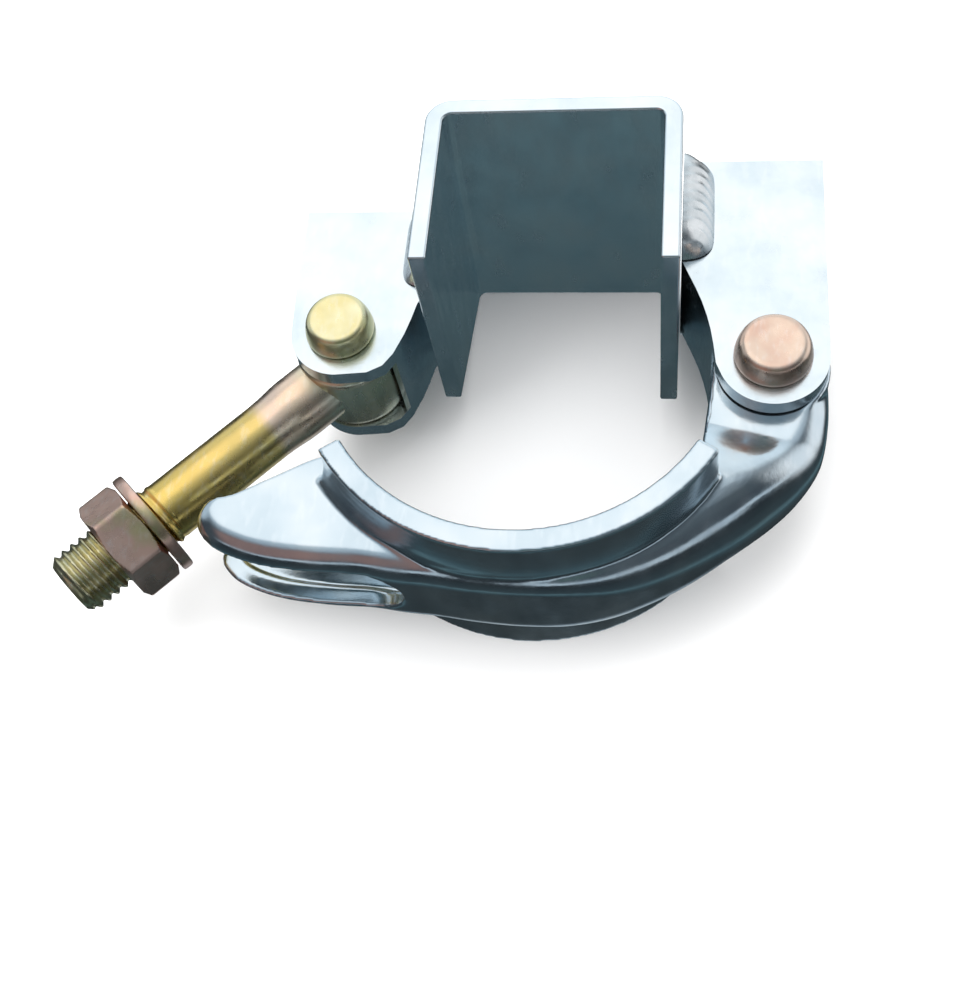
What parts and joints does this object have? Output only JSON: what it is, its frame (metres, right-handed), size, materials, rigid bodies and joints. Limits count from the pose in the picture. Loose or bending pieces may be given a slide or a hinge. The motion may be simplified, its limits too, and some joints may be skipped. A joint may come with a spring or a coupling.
{
  "type": "scaffold coupler clamp",
  "caption": "Half coupler for scaffold tube: a hinged pressed-steel jaw and a swing bolt with washer and nut close a tube against a U channel saddle carried on two welded lugs.",
  "frame": {"origin": "middle of the footprint box, on the plane the clamp's rear side rests on", "axes": "+Z along the tube's axis towards the front, +X from the bolt side to the hinge side, +Y from the jaw to the channel's web"},
  "size_m": [0.1296, 0.0844, 0.0515],
  "materials": {
    "bright_zinc": "bright zinc plate, glossy with a bluish cast",
    "weld_steel": "plated weld metal with ripples",
    "rivet_zinc": "yellow zinc plate with a pale iridescent sheen",
    "yellow_zinc": "yellow zinc chromate plate, satin",
    "nut_zinc": "yellow zinc chromate plate with a pinkish brown sheen"
  },
  "bodies": {
    "frame": {"saddle_channel": "bright_zinc", "hinge_lug": "bright_zinc", "bolt_lug": "bright_zinc", "weld_hinge_front": "weld_steel", "weld_hinge_rear": "weld_steel", "weld_bolt_front": "weld_steel", "weld_bolt_rear": "weld_steel", "hinge_rivet": "rivet_zinc", "bolt_rivet": "rivet_zinc"},
    "jaw": {"jaw": "bright_zinc"},
    "bolt": {"eye_bolt": "yellow_zinc"},
    "washer": {"flat_washer": "yellow_zinc"},
    "nut": {"hex_nut": "nut_zinc"}
  },
  "joints": [
    {"name": "jaw_hinge", "type": "hinge", "parent": "frame", "child": "jaw", "pos_m": [0.05519, 0.00175, 0.0195], "axis": [0, 0, 1], "range_deg": [-3, 110]},
    {"name": "bolt_swing", "type": "hinge", "parent": "frame", "child": "bolt", "pos_m": [-0.01781, 0.00625, 0.0195], "axis": [0, 0, 1], "range_deg": [-80, 40]},
    {"name": "nut_travel", "type": "slide", "parent": "bolt", "child": "washer", "axis": [-0.6947, -0.7193, 0], "range_m": [0, 0.008]},
    {"name": "nut_spin", "type": "hinge", "parent": "washer", "child": "nut", "pos_m": [-0.05269, -0.02986, 0.0195], "axis": [-0.6947, -0.7193, 0], "range_deg": [0, 1640]}
  ],
  "couplings": [
    {"joint": "nut_travel", "follows": "nut_spin", "m_per_rad": 0.00027852}
  ]
}
